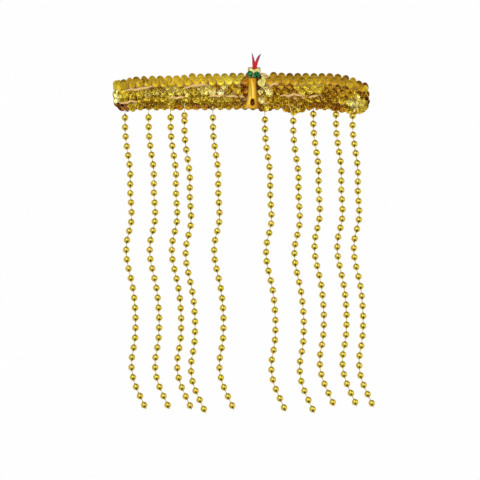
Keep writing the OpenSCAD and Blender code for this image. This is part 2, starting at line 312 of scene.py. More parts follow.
class StageSettings(bpy.types.PropertyGroup):
    camera_distance: FloatProperty(
        name="Camera Distance",
        description="From the camera to the middle of the loop",
        default=10,
        unit="LENGTH",
    )
    field: FloatProperty(
        name="Field",
        description="Width that the picture takes in at the front wall",
        default=384 * MM,
        unit="LENGTH",
    )
    floor_drop: FloatProperty(
        name="Floor Drop",
        description="How far the floor lies below the band",
        default=1.2,
        unit="LENGTH",
    )
    floor_color: FloatVectorProperty(
        name="Floor", description="Colour of the floor", default=linear("F8F8F6"), subtype="COLOR"
    )


# Shapes: a shape is its points and a list of face arrays, each array with faces of one number of corners


def grid_faces(rows, columns, wrap_rows=False, wrap_columns=False):
    """Four-sided faces between neighbours on a grid of points numbered row by row.
    They face along the step to the next row crossed with the step to the next column."""
    row = np.arange(rows if wrap_rows else rows - 1)[:, None]
    column = np.arange(columns if wrap_columns else columns - 1)[None, :]
    next_row = (row + 1) % rows
    next_column = (column + 1) % columns
    corners = [
        row * columns + column,
        next_row * columns + column,
        next_row * columns + next_column,
        row * columns + next_column,
    ]
    return np.stack(corners, axis=-1).reshape(-1, 4)


def end_caps(rows, columns):
    """The first and the last row of a grid as one face each. They close a stack of rings whose faces are
    those of grid_faces turned round."""
    cap = np.arange(columns)[None]
    return cap[:, ::-1], cap + (rows - 1) * columns


def turned(profile, segments):
    """A closed profile of radius and height turned round the third axis: x is the radius times the cosine of
    the angle, y the radius times its sine."""
    angle = np.arange(segments) * 2 * math.pi / segments
    radius, height = np.asarray(profile, float).T
    points = np.stack(
        [
            np.outer(radius, np.cos(angle)),
            np.outer(radius, np.sin(angle)),
            np.repeat(height[:, None], segments, axis=1),
        ],
        axis=-1,
    )
    return points.reshape(-1, 3), [grid_faces(len(radius), segments, True, True)]


def stamped(shape, origins, axes):
    """Copies of a shape: each point is a copy's origin plus its coordinates along that copy's three axes."""
    points, faces = shape
    placed = origins[:, None] + np.einsum("kc,ncd->nkd", points, axes)
    first = (np.arange(len(origins)) * len(points))[:, None, None]
    return placed.reshape(-1, 3), [(part[None] + first).reshape(-1, part.shape[1]) for part in faces]


def joined(shapes):
    """Several shapes as one."""
    points, faces = [], []
    first = 0
    for shape in shapes:
        points.append(shape[0])
        faces += [block + first for block in shape[1]]
        first += len(shape[0])
    return np.concatenate(points), faces


def frames_along(path, side):
    """Unit tangent, side and remaining axis at each point of a path, the side kept close to a given one."""
    step = np.gradient(path, axis=0)
    tangent = step / np.linalg.norm(step, axis=1, keepdims=True)
    across = np.broadcast_to(side, path.shape)
    across = across - (across * tangent).sum(1, keepdims=True) * tangent
    across = across / np.linalg.norm(across, axis=1, keepdims=True)
    return tangent, across, np.cross(tangent, across)


def tube(path, radius, sides, side=(1, 0, 0), closed=False):
    """A round tube: circles of a radius round each point of a path, square to it. An open one ends flat."""
    if closed:
        path = np.concatenate([path[-1:], path, path[:1]])
    _, across, other = frames_along(path, side)
    if closed:
        path, across, other = path[1:-1], across[1:-1], other[1:-1]
    angle = -np.arange(sides) * 2 * math.pi / sides
    radius = np.broadcast_to(radius, len(path))[:, None, None]
    ring = np.cos(angle)[None, :, None] * across[:, None] + np.sin(angle)[None, :, None] * other[:, None]
    points = (path[:, None] + radius * ring).reshape(-1, 3)
    faces = [grid_faces(len(path), sides, closed, True)]
    if not closed:
        faces += [cap[:, ::-1] for cap in end_caps(len(path), sides)]
    return points, faces


def eased(table, at, reach=5):
    """Second column against the first, straight between points, then softened over a reach to each side."""
    first, second = np.asarray(table, float).T

    def plain(where):
        return np.interp(where, first, second)

    return (plain(at - reach) + 2 * plain(at) + plain(at + reach)) / 4


def squarish(angle, roundness=0.8):
    """Cosine and sine drawn towards a square's: their sizes are raised to a power below 1."""
    cos, sin = np.cos(angle), np.sin(angle)
    return np.sign(cos) * np.abs(cos) ** roundness, np.sign(sin) * np.abs(sin) ** roundness


def bell(at, middle, half):
    """1 at the middle, falling off to both sides as a bell curve."""
    return np.exp(-(((at - middle) / half) ** 2))


def smooth_noise(rng, count, knots):
    """Random values from -1 to 1 that change smoothly from knot to knot round a closed run of places."""
    values = rng.uniform(-1, 1, knots)
    place = np.arange(count) * knots / count
    low = place.astype(int)
    share = place - low
    share = share * share * (3 - 2 * share)
    return values[low % knots] * (1 - share) + values[(low + 1) % knots] * share


# Meshes


def make_piece(name, parts, stands_for=(), tone=None, uv=None):
    """One mesh object from parts, each a shape, its material and whether it is smooth. It rides on the body.
    tone is one value for each point, and uv one pair for each corner of the first part's faces."""
    points, faces, material_index, smooth = [], [], [], []
    first = 0
    for index, (shape, _, is_smooth) in enumerate(parts):
        points.append(shape[0])
        for block in shape[1]:
            faces += (block + first).tolist()
            material_index += [index] * len(block)
            smooth += [is_smooth] * len(block)
        first += len(shape[0])
    mesh = bpy.data.meshes.new(name)
    mesh.from_pydata(np.concatenate(points).tolist(), [], faces)
    mesh.polygons.foreach_set("material_index", material_index)
    mesh.polygons.foreach_set("use_smooth", smooth)
    for _, material, _ in parts:
        mesh.materials.append(material)
    if tone is not None:
        mesh.attributes.new("tone", "FLOAT", "POINT").data.foreach_set("value", np.asarray(tone, np.float32))
    if uv is not None:
        values = np.zeros((len(mesh.loops), 2), np.float32)
        values[: len(uv)] = uv
        mesh.uv_layers.new(name="cloth").data.foreach_set("uv", values.ravel())
    mesh.validate()
    mesh.update()
    piece = bpy.data.objects.new(name, mesh)
    bpy.context.scene.collection.objects.link(piece)
    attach(piece, BODY)
    if stands_for:
        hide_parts(*stands_for)
    return piece


def grid_uvs(rows, columns, wrap_rows, wrap_columns, row_value, column_value):
    """The pair (row value, column value) at each corner of grid_faces, carried on where the grid wraps."""
    faces = grid_faces(rows, columns, wrap_rows, wrap_columns)
    row, column = np.divmod(faces, columns)
    row[:, 1:3] = row[:, :1] + 1
    column[:, 2:] = column[:, :1] + 1
    return np.stack([row_value[row], column_value[column]], axis=-1).reshape(-1, 2)


def node_points(node):
    """The points of a solid's mesh."""
    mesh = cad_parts[node].data
    flat = np.empty(len(mesh.vertices) * 3, np.float32)
    mesh.vertices.foreach_get("co", flat)
    return flat.reshape(-1, 3).astype(float)


# The loop


class Loop:
    """The elastic's outer face seen from above: two long arcs that meet two end turns without a corner.
    A run is a length along it, from the middle of the front towards +X. Places are looked up among steps:
    so many along the front, and so many in each window."""

    front_steps = 2001
    window_steps = 16

    def __init__(self, end_radius):
        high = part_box("elastic_band")[1]
        self.end_radius = end_radius
        self.end_x = high.x - end_radius
        self.wall_radius = (self.end_x**2 + high.y**2 - end_radius**2) / (2 * (high.y - end_radius))
        self.wall_y = self.wall_radius - high.y
        angle = math.atan2(self.end_x, self.wall_y)
        wall = self.wall_radius * angle
        turn = end_radius * (math.pi - 2 * angle)
        self.knots = np.cumsum([0, wall, turn, 2 * wall, turn, wall])
        self.headings = [0, angle, math.pi - angle, math.pi + angle, 2 * math.pi - angle, 2 * math.pi]
        self.length = self.knots[-1]

    def heading(self, run):
        """Direction of the outward normal, 0 facing -Y and growing towards +X."""
        return np.interp(np.mod(run, self.length), self.knots, self.headings)

    def place(self, run, off):
        """Distance across and depth of a point at a run that stands off the face."""
        turn = self.heading(run)
        arc = np.searchsorted(self.knots[1:-1], np.mod(run, self.length))
        centre_x = np.array([0, self.end_x, 0, -self.end_x, 0])[arc]
        centre_y = np.array([self.wall_y, 0, -self.wall_y, 0, self.wall_y])[arc]
        radius = np.array([self.wall_radius, self.end_radius] * 2 + [self.wall_radius])[arc] + off
        return centre_x + radius * np.sin(turn), centre_y - radius * np.cos(turn)

    def points(self, run, off, height):
        """Points at a run, standing off the face at a height."""
        x, y = self.place(run, off)
        return np.stack(np.broadcast_arrays(x, y, height), axis=-1)

    def axes(self, run):
        """Unit vectors along the loop, up and outward."""
        turn = self.heading(run)
        zero = np.zeros_like(turn)
        along = np.stack([np.cos(turn), np.sin(turn), zero], axis=-1)
        outward = np.stack([np.sin(turn), -np.cos(turn), zero], axis=-1)
        return along, np.stack([zero, zero, zero + 1], axis=-1), outward

    def front_depth(self, across, off):
        """Depth of a point on the front at a distance across, standing off the face."""
        return self.place(self.front_run(across, off), off)[1]

    def front_run(self, across, off):
        """Run of a point on the front at a distance across, standing off the face."""
        run = np.linspace(-self.length / 4, self.length / 4, self.front_steps)
        return np.interp(across, self.place(run, off)[0], run)

    def heights(self, node, count):
        """Lowest and highest point of a solid in each of a count of equal windows round the loop."""
        points = node_points(node)
        steps = self.window_steps * count
        run = np.arange(steps) * self.length / steps
        x, y = self.place(run, 0)
        apart = (points[:, :1] - x) ** 2 + (points[:, 1:2] - y) ** 2
        window = (np.round(run[apart.argmin(axis=1)] * count / self.length) % count).astype(int)
        low, high = np.full(count, np.inf), np.full(count, -np.inf)
        np.minimum.at(low, window, points[:, 2])
        np.maximum.at(high, window, points[:, 2])
        return low, high


def round_loop(values, at):
    """Values evenly spaced round the loop, read at a share of the way round, straight between them."""
    count = len(values)
    return np.interp(np.mod(at, 1) * count, np.arange(count + 1), np.append(values, values[0]))


def row_lines(loop, band):
    """For each row, its middle height round the loop at the start of each pair of sequins, and how far above
    and below that its sequins are sewn, which is less in the bottom row. The top row stands a little past its
    solid's upper edge, the bottom row a little past its solid's lower edge, and the others keep to the middle
    of theirs."""
    past, most_stagger, bottom_share = 0.4 * MM, 1.8 * band.stagger, 0.6
    count = round(loop.length / band.pair_pitch)
    bottom = len(ROWS) - 1
    lines = []
    for row in range(len(ROWS)):
        low, high = loop.heights(f"sequin_row_{row + 1}", count)
        stagger = np.clip((high - low - band.sequin_size) / 2, band.stagger, most_stagger)
        if row == bottom:
            stagger = bottom_share * stagger
        reach = band.sequin_size / 2 + stagger - past
        middle = {0: high - reach, bottom: low + reach}.get(row, (low + high) / 2)
        lines.append((middle, stagger))
    return lines


def knit_at(line, across):
    """How far the knit shows at a line between rows, from 0 to 1 over a ramp at each end, and its height."""
    ramp = 2
    shown = np.zeros_like(across)
    height = np.zeros_like(across)
    for which, start, end, start_height, end_height in KNIT_SHOWS:
        if which == line:
            inside = np.clip(np.minimum(across / MM - start, end - across / MM) / ramp + 0.5, 0, 1)
            share = (across / MM - start) / (end - start)
            height = np.where(inside > 0, (start_height + (end_height - start_height) * share) * MM, height)
            shown = np.maximum(shown, inside)
    return shown, height


# Materials


def wire(tree, node, settings=None, links=None):
    """Gives a node's properties and sockets their values, and links what comes in."""
    for name, value in (settings or {}).items():
        if isinstance(name, str) and hasattr(node, name):
            setattr(node, name, value)
        else:
            node.inputs[name].default_value = value
    for name, source in (links or {}).items():
        tree.links.new(source, node.inputs[name])


def add(tree, kind, settings=None, links=None, stops=()):
    """Adds a node and wires it. Stops are a colour ramp's, each a place and a colour."""
    node = tree.nodes.new(kind)
    wire(tree, node, settings, links)
    for index, (place, color) in enumerate(stops):
        elements = node.color_ramp.elements
        element = elements[index] if index < len(elements) else elements.new(place)
        element.position = place
        element.color = color
    return node


def new_material(name):
    """A new material, its node tree and its shader."""
    material = bpy.data.materials.new(name)
    material.use_nodes = True
    tree = material.node_tree
    return material, tree, tree.nodes["Principled BSDF"]


def band_scale(period):
    """The scale at which a wave texture's bands repeat after a period: it turns 20 radians in each unit."""
    return 2 * math.pi / (20 * period)


def metallised_sequin_film(name, color, crinkle, fleck, roughness):
    """Polyester film with an aluminium skin under clear gold lacquer, pressed into cups and crinkled by wear.
    Its tone runs from brown through the film's gold to pale: partly the film's own colour, and partly painted
    light, with painted shade below the gold and painted highlights above it. Fine creases, crinkle deep,
    carry painted glints that raise the tone by as much as fleck, and painted shade that lowers it by less."""
    crease, low_crease, high_crease, lowered = 1.6 * MM, 0.4, 0.62, 0.4
    brown, rust, old_gold = opaque("2E1608"), opaque("B4602A"), opaque("B88418")
    gold, lemon, pale = (*color, 1), opaque("E6D244"), opaque("FFF8B8")
    material, tree, shader = new_material(name)
    place = add(tree, "ShaderNodeTexCoord")
    creases = add(
        tree, "ShaderNodeTexNoise", {"Scale": 1 / crease, "Detail": 2}, {"Vector": place.outputs["Object"]}
    )
    # painted glints: the creases raise the tone by up to fleck, and lower it by less as painted shade
    worn = add(
        tree,
        "ShaderNodeMapRange",
        {"From Min": low_crease, "From Max": high_crease, "To Min": -lowered * fleck, "To Max": fleck},
        {"Value": creases.outputs["Fac"]},
    )
    tone = add(tree, "ShaderNodeAttribute", {"attribute_name": "tone"})
    worn_tone = add(
        tree, "ShaderNodeMath", {"operation": "ADD"}, {0: tone.outputs["Fac"], 1: worn.outputs["Result"]}
    )
    # painted light: the stops below the film's gold stand for shade, the stops above it for highlights
    ramp = add(
        tree,
        "ShaderNodeValToRGB",
        links={"Fac": worn_tone.outputs["Value"]},
        stops=[(0, brown), (0.1, rust), (0.28, old_gold), (0.5, gold), (0.75, lemon), (1, pale)],
    )
    bump = add(tree, "ShaderNodeBump", {"Distance": crinkle}, {"Height": creases.outputs["Fac"]})
    wire(
        tree,
        shader,
        {"Metallic": 1, "Roughness": roughness},
        {"Base Color": ramp.outputs["Color"], "Normal": bump.outputs["Normal"]},
    )
    return material


def knitted_elastic(color):
    """Polyester yarn warp-knitted round rubber threads. Ribs and loops catch light on their crowns, and the
    yarn has a dull silky sheen. The stitches are drawn about twice as coarse as real ones, so that they
    show."""
    rib_pitch, loop_pitch, stitch_height = 2.2 * MM, 2.8 * MM, 0.25 * MM
    material, tree, shader = new_material("warp_knit_elastic")
    coords = add(tree, "ShaderNodeUVMap", {"uv_map": "cloth"})
    ribs, loops = [
        add(
            tree,
            "ShaderNodeTexWave",
            {"wave_type": "BANDS", "bands_direction": way, "Scale": band_scale(pitch), "Distortion": bend},
            {"Vector": coords.outputs["UV"]},
        )
        for way, pitch, bend in (("X", rib_pitch, 1.5), ("Y", loop_pitch, 2))
    ]
    both = add(
        tree, "ShaderNodeMath", {"operation": "ADD"}, {0: ribs.outputs["Fac"], 1: loops.outputs["Fac"]}
    )
    ramp = add(
        tree,
        "ShaderNodeValToRGB",
        links={"Fac": both.outputs["Value"]},
        stops=[(0, opaque("B88C5C")), (0.8, (*color, 1))],
    )
    bump = add(
        tree,
        "ShaderNodeBump",
        {"Strength": 0.8, "Distance": stitch_height},
        {"Height": both.outputs["Value"]},
    )
    wire(
        tree,
        shader,
        {"Roughness": 0.75, "Sheen Weight": 0.15},
        {"Base Color": ramp.outputs["Color"], "Normal": bump.outputs["Normal"]},
    )
    return material


def twisted_thread(name, color, twist):
    """Plied polyester thread. Its twist shows as fine light and dark."""
    shade = 0.65
    material, tree, shader = new_material(name)
    place = add(tree, "ShaderNodeTexCoord")
    ply = add(
        tree, "ShaderNodeTexNoise", {"Scale": 1 / twist, "Detail": 1}, {"Vector": place.outputs["Object"]}
    )
    ramp = add(
        tree,
        "ShaderNodeValToRGB",
        links={"Fac": ply.outputs["Fac"]},
        stops=[(0.35, (*(shade * part for part in color), 1)), (0.6, (*color, 1))],
    )
    wire(tree, shader, {"Roughness": 0.5}, {"Base Color": ramp.outputs["Color"]})
    return material


def vacuum_metallised_bead(color):
    """Moulded polystyrene with a vacuum-laid aluminium skin under yellow lacquer: almost a clear mirror.
    Its yellow and its gloss drift a little from bead to bead."""
    drift = 6 * MM
    material, tree, shader = new_material("vacuum_metallised_bead")
    place = add(tree, "ShaderNodeTexCoord")
    rubbed = add(
        tree, "ShaderNodeTexNoise", {"Scale": 1 / drift, "Detail": 3}, {"Vector": place.outputs["Object"]}
    )
    ramp = add(
        tree,
        "ShaderNodeValToRGB",
        links={"Fac": rubbed.outputs["Fac"]},
        stops=[(0.3, opaque("D4BE46")), (0.5, (*color, 1)), (0.7, opaque("E6C45A"))],
    )
    rough = add(tree, "ShaderNodeMapRange", {"To Min": 0.1, "To Max": 0.18}, {"Value": rubbed.outputs["Fac"]})
    wire(
        tree,
        shader,
        {"Metallic": 1},
        {"Base Color": ramp.outputs["Color"], "Roughness": rough.outputs["Result"]},
    )
    return material


def foil_lame_cloth(name, color, worn, painted_shade, roughness):
    """Knit cloth with gold foil pressed on. It shines like soft metal with a fine knit grain. Its tone paints
    light into it: from painted shade through the cloth's own colour to a painted highlight."""
    stitch, stitch_height = 0.6 * MM, 0.08 * MM
    material, tree, shader = new_material(name)
    tone = add(tree, "ShaderNodeAttribute", {"attribute_name": "tone"})
    # painted light: painted shade at 0 and a painted highlight at 1, round the cloth's own colour
    ramp = add(
        tree,
        "ShaderNodeValToRGB",
        links={"Fac": tone.outputs["Fac"]},
        stops=[(0, painted_shade), (0.5, (*color, 1)), (1, worn)],
    )
    coords = add(tree, "ShaderNodeUVMap", {"uv_map": "cloth"})
    grain = add(
        tree, "ShaderNodeTexNoise", {"Scale": 1 / stitch, "Detail": 2}, {"Vector": coords.outputs["UV"]}
    )
    bump = add(
        tree,
        "ShaderNodeBump",
        {"Strength": 0.3, "Distance": stitch_height},
        {"Height": grain.outputs["Fac"]},
    )
    wire(
        tree,
        shader,
        {"Metallic": 0.9, "Roughness": roughness},
        {"Base Color": ramp.outputs["Color"], "Normal": bump.outputs["Normal"]},
    )
    return material


def lame_reverse():
    """The cloth's unfoiled side, matt, coloured dark brown as painted shade for the inside of the tube's
    opening.
    """
    material, tree, shader = new_material("lame_reverse")
    # painted shade: a dark brown lining stands for the shade inside the opening
    wire(tree, shader, {"Base Color": opaque("8A4C18"), "Roughness": 0.9})
    return material


def cut_acrylic(color):
    """Cut green acrylic with a foil back, which throws light back through the green. The glints and shade of
    its back facets are painted as light and dark cells."""
    facet = 1.5 * MM
    material, tree, shader = new_material("cut_acrylic")
    place = add(tree, "ShaderNodeTexCoord")
    cells = add(tree, "ShaderNodeTexVoronoi", {"Scale": 1 / facet}, {"Vector": place.outputs["Object"]})
    # painted reflection: cells from dark to light green stand for the facets' shade and glints
    ramp = add(
        tree,
        "ShaderNodeValToRGB",
        links={"Fac": cells.outputs["Color"]},
        stops=[(0.25, opaque("06401E")), (0.5, (*color, 1)), (0.7, opaque("4A9060"))],
    )
    wire(tree, shader, {"Metallic": 0.8, "Roughness": 0.05}, {"Base Color": ramp.outputs["Color"]})
    return material


def pressed_felt(color, tip_height, root_height):
    """Pressed wool felt. It is matt with short fuzz, and it goes darker and more purple towards the tips."""
    fibre, fuzz_height = 0.25 * MM, 0.15 * MM
    material, tree, shader = new_material("pressed_felt")
    place = add(tree, "ShaderNodeTexCoord")
    split = add(tree, "ShaderNodeSeparateXYZ", links={"Vector": place.outputs["Object"]})
    along = add(
        tree,
        "ShaderNodeMapRange",
        {"From Min": root_height, "From Max": tip_height},
        {"Value": split.outputs["Z"]},
    )
    ramp = add(
        tree,
        "ShaderNodeValToRGB",
        links={"Fac": along.outputs["Result"]},
        stops=[(0.3, (*color, 1)), (0.7, opaque("96264C")), (1, opaque("6A3454"))],
    )
    fuzz = add(
        tree, "ShaderNodeTexNoise", {"Scale": 1 / fibre, "Detail": 4}, {"Vector": place.outputs["Object"]}
    )
    bump = add(
        tree,
        "ShaderNodeBump",
        {"Strength": 0.7, "Distance": fuzz_height},
        {"Height": fuzz.outputs["Fac"]},
    )
    wire(
        tree,
        shader,
        {"Roughness": 0.95, "Sheen Weight": 0.1},
        {"Base Color": ramp.outputs["Color"], "Normal": bump.outputs["Normal"]},
    )
    return material


def painted_floor(color):
    """Matt painted studio floor, lit so that it stays almost white."""
    paint = (*color, 1)
    material, tree, shader = new_material("painted_floor")
    wire(
        tree,
        shader,
        {"Base Color": paint, "Roughness": 0.9, "Emission Color": paint, "Emission Strength": 0.35},
    )
    return material


# Operators


class HEADDRESS_OT_stage(bpy.types.Operator):
    """Camera, floor, soft lights and surroundings"""

    bl_idname = "headdress.stage"
    bl_label = "Stage"

    def execute(self, context):
        stage = context.scene.headdress_stage
        self.make_camera(context.scene, stage)
        self.make_floor(stage)
        self.make_light("key_light", place=(-0.9, -2.4, 1.7), power=20)
        self.make_light("fill_light", place=(1.9, -1.6, 0.5), power=6)
        self.make_surroundings(context.scene)
        context.scene.view_settings.view_transform = "Standard"
        return {"FINISHED"}

    def make_camera(self, scene, stage):
        """A level camera far in front, so that the back wall of the loop hides behind the front."""
        sensor, view_end = 36, 100
        across, height = -0.8 * MM, -118.4 * MM
        data = bpy.data.cameras.new("camera")
        data.sensor_width = sensor
        data.lens = sensor * (stage.camera_distance + CAD_BOX[0].y) / stage.field
        data.clip_end = view_end
        camera = bpy.data.objects.new("camera", data)
        camera.location = (across, -stage.camera_distance, height)
        camera.rotation_euler = (math.pi / 2, 0, 0)
        scene.collection.objects.link(camera)
        scene.camera = camera

    def make_floor(self, stage):
        """A wide round floor: one flat face inside a ring of points."""
        radius, sides = 30, 64
        angle = np.arange(sides) * 2 * math.pi / sides
        height = np.full(sides, -stage.floor_drop)
        points = np.stack([radius * np.cos(angle), radius * np.sin(angle), height], axis=-1)
        mesh = bpy.data.meshes.new("floor")
        mesh.from_pydata(points.tolist(), [], [list(range(sides))])
        mesh.materials.append(painted_floor(stage.floor_color))
        floor = bpy.data.objects.new("floor", mesh)
        floor.visible_glossy = False
        bpy.context.scene.collection.objects.link(floor)

    def make_light(self, name, place, power, size=1.6):
        """A square soft light that faces the middle of the object."""
        data = bpy.data.lights.new(name, "AREA")
        data.size = size
        data.energy = power
        light = bpy.data.objects.new(name, data)
        light.location = place
        middle = (CAD_BOX[0] + CAD_BOX[1]) / 2
        light.rotation_euler = (middle - light.location).to_track_quat("-Z", "Y").to_euler()
        bpy.context.scene.collection.objects.link(light)

    def make_surroundings(self, scene):
        """What the shiny pieces mirror: pale walls, with lighter and darker patches. Seen directly it is
        white. Columns of the patches: direction, inner and outer angle in degrees, brightness."""
        wall, white = 0.75, (0.99, 0.99, 0.99, 1)
        patches = [
            ((0, 1, 0), 20, 70, 1.0),
            ((0.05, 0.1, 1), 25, 68, 0.35),
            ((1, 0, 0), 10, 40, 0.95),
            ((-0.1, -0.95, 0.3), 8, 30, 1.2),
            ((0.14, -0.54, -0.83), 25, 44, 0.08),
        ]
        world = bpy.data.worlds.new("surroundings")
        world.use_nodes = True
        scene.world = world
        tree = world.node_tree
        tree.nodes.clear()
        place = add(tree, "ShaderNodeTexCoord")
        level = add(tree, "ShaderNodeValue")
        level.outputs[0].default_value = wall
        source = level.outputs[0]
        for direction, inner, outer, brightness in patches:
            unit = np.array(direction) / np.linalg.norm(direction)
            facing = add(
                tree,
                "ShaderNodeVectorMath",
                {"operation": "DOT_PRODUCT", 1: unit},
                {0: place.outputs["Generated"]},
            )
            inside = add(
                tree,
                "ShaderNodeMapRange",
                {
                    "interpolation_type": "SMOOTHSTEP",
                    "From Min": math.cos(math.radians(outer)),
                    "From Max": math.cos(math.radians(inner)),
                },
                {"Value": facing.outputs["Value"]},
            )
            mix = add(
                tree,
                "ShaderNodeMix",
                {"data_type": "FLOAT", "B": brightness},
                {"Factor": inside.outputs["Result"], "A": source},
            )
            source = mix.outputs["Result"]
        mirrored = add(tree, "ShaderNodeBackground", links={"Color": source})
        plain = add(tree, "ShaderNodeBackground", {"Color": white})
        path = add(tree, "ShaderNodeLightPath")
        chosen = add(
            tree,
            "ShaderNodeMixShader",
            links={0: path.outputs["Is Camera Ray"], 1: mirrored.outputs[0], 2: plain.outputs[0]},
        )
        add(tree, "ShaderNodeOutputWorld", links={"Surface": chosen.outputs[0]})


class HEADDRESS_OT_knit(bpy.types.Operator):
    """Knitted elastic band, and its yarns where they stand out between rows"""

    bl_idname = "headdress.knit"
    bl_label = "Knitted Elastic"

    def execute(self, context):
        band = context.scene.headdress_band
        loop = Loop(band.end_radius)
        shape, uv = self.wall(loop, round(loop.length / band.pair_pitch))
        knit = knitted_elastic(band.knit_color)
        piece = make_piece("knit_band", [(shape, knit, True)], ["elastic_band"], uv=uv)
        yarn = twisted_thread("elastic_yarn", band.knit_color, twist=0.6 * MM)
        make_piece("knit_yarns", [(self.yarns(loop), yarn, True)])
        return {"FINISHED"}

    def wall(self, loop, pair_count):
        """The band as a closed strip: its section runs up the outer face and down the inner face, and the
        section's heights follow the solid's edges round the loop. Ribs stand on both faces as a cosine."""
        stations_a_pair, outer, inner = 8, 25, 13
        thick, gap, tall = 1.2 * MM, 0.15 * MM, 27 * MM
        rib_height, rib_count = 0.12 * MM, 8
        stations = stations_a_pair * pair_count
        run = np.arange(stations) * loop.length / stations
        low, high = loop.heights("elastic_band", 2 * pair_count)
        share = run / loop.length
        low, high = round_loop(low, share), round_loop(high, share)
        up = np.concatenate([np.linspace(0, 1, outer), np.linspace(1, 0, inner)])
        rib = rib_height * np.cos(2 * math.pi * up * rib_count)
        columns = outer + inner
        off = rib - np.where(np.arange(columns) < outer, gap, thick)
        height = low[:, None] + (high - low)[:, None] * up
        points = loop.points(run[:, None], off[None, :], height)
        round_section = np.concatenate([np.linspace(0, 1, outer), np.linspace(1, 2, inner)]) * tall
        round_section = np.append(round_section, 2 * tall + thick)
        uv = grid_uvs(stations, columns, True, True, np.append(run, loop.length), round_section)
        return (points.reshape(-1, 3), [grid_faces(stations, columns, True, True)]), uv

    def yarns(self, loop):
        """Three plaited yarns on each stretch in KNIT_SHOWS: helices about its line, which wanders up and
        down as two sines. They taper and sink at both ends, and a sine along each makes it lumpy."""
        plies, sides, step = 3, 6, 0.35
        off, sunk, radius, thinnest = 2.8 * MM, 1.2 * MM, 0.45 * MM, 0.3
        reach_up, reach_out, turn_length = 0.64 * MM, 0.4 * MM, 3.1 * MM
        lumpy, lump_length = 0.3, 0.9 * MM
        waves = [(0.35 * MM, 1.3 * MM), (0.3 * MM, 3.1 * MM)]
        shapes = []
        for _, start, end, start_height, end_height in KNIT_SHOWS:
            share = np.linspace(0, 1, round((end - start) / step))
            across = (start + (end - start) * share) * MM
            run = loop.front_run(across, off)
            taper = np.clip(3 * np.minimum(share, 1 - share), 0, 1) ** 0.5
            wander = sum(size * np.sin(across / length) for size, length in waves)
            middle = (start_height + (end_height - start_height) * share) * MM + wander
            for ply in range(plies):
                turn = 2 * math.pi * (run / turn_length + ply / plies)
                height = middle + reach_up * taper * np.sin(turn)
                stand = off - sunk * (1 - taper) + reach_out * np.cos(turn)
                lumps = 1 + lumpy * np.sin(across / lump_length + 2 * ply)
                thick = radius * lumps * (thinnest + (1 - thinnest) * taper)
                shapes.append(tube(loop.points(run, stand, height), thick, sides, (0, 0, 1)))
        return joined(shapes)


